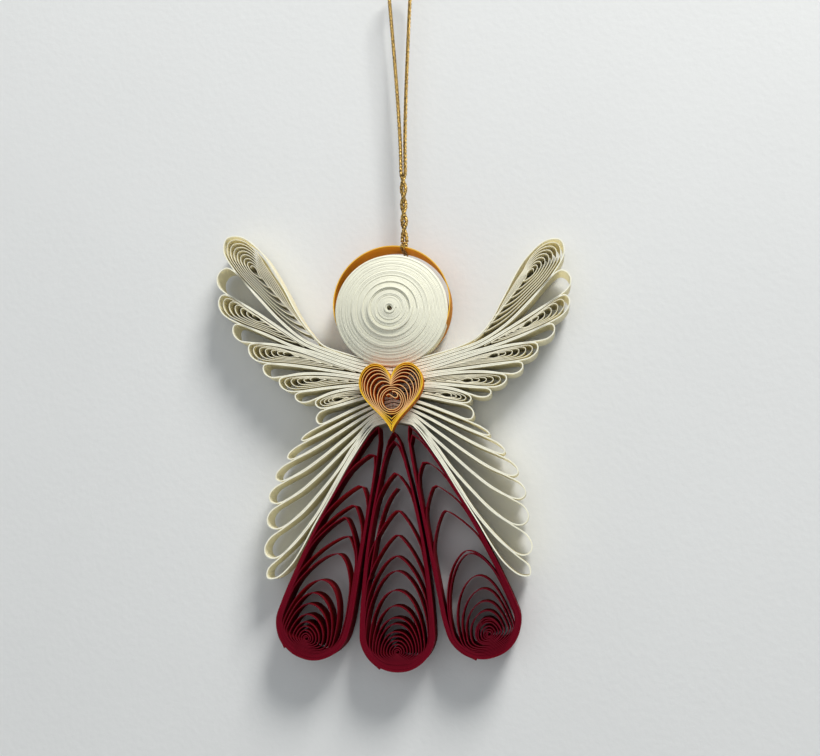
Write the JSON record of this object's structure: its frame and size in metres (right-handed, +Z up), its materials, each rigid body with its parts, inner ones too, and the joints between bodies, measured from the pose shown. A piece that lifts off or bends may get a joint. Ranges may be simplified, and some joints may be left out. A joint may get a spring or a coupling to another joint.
{
  "type": "quilled paper angel ornament",
  "caption": "Hanging angel ornament of coiled and looped paper strips glued edge to edge, with a coiled head in a ring halo, a heart, a gown and a loop of cord.",
  "frame": {"origin": "underside of the hanging cord at the top of its loop, where it goes over its hook or pin, on the strips' middle plane", "axes": "+Z up, -Y the front that faces the room, +Y the back that lies near the wall, +X to the viewer's right"},
  "size_m": [0.0826, 0.01, 0.1656],
  "materials": {
    "ivory_paper": "matte",
    "white_paper": "matte",
    "gold_paper": "matte",
    "crimson_paper": "matte",
    "metallic_cord": "satin"
  },
  "bodies": {
    "root": {"gown_middle_coil": "crimson_paper", "gown_left_coil": "crimson_paper", "gown_right_coil": "crimson_paper", "left_coil_feather_1": "ivory_paper", "left_loop_feather_2": "ivory_paper", "left_coil_feather_3": "ivory_paper", "left_loop_feather_4": "ivory_paper", "left_coil_feather_5": "ivory_paper", "left_loop_feather_6": "ivory_paper", "left_coil_feather_7": "ivory_paper", "left_loop_feather_8": "ivory_paper", "left_coil_feather_9": "ivory_paper", "left_loop_feather_10": "ivory_paper", "left_loop_feather_11": "ivory_paper", "left_loop_feather_12": "ivory_paper", "left_loop_feather_13": "ivory_paper", "left_loop_feather_14": "ivory_paper", "left_loop_feather_15": "ivory_paper", "left_loop_feather_16": "ivory_paper", "left_loop_feather_17": "ivory_paper", "right_coil_feather_1": "ivory_paper", "right_loop_feather_2": "ivory_paper", "right_coil_feather_3": "ivory_paper", "right_loop_feather_4": "ivory_paper", "right_coil_feather_5": "ivory_paper", "right_loop_feather_6": "ivory_paper", "right_coil_feather_7": "ivory_paper", "right_loop_feather_8": "ivory_paper", "right_coil_feather_9": "ivory_paper", "right_loop_feather_10": "ivory_paper", "right_loop_feather_11": "ivory_paper", "right_loop_feather_12": "ivory_paper", "right_loop_feather_13": "ivory_paper", "right_loop_feather_14": "ivory_paper", "right_loop_feather_15": "ivory_paper", "right_loop_feather_16": "ivory_paper", "right_loop_feather_17": "ivory_paper", "heart_coil": "gold_paper", "halo_ring": "gold_paper", "head_coil": "white_paper", "cord_hitch": "metallic_cord", "hanging_cord": "metallic_cord"}
  },
  "joints": []
}
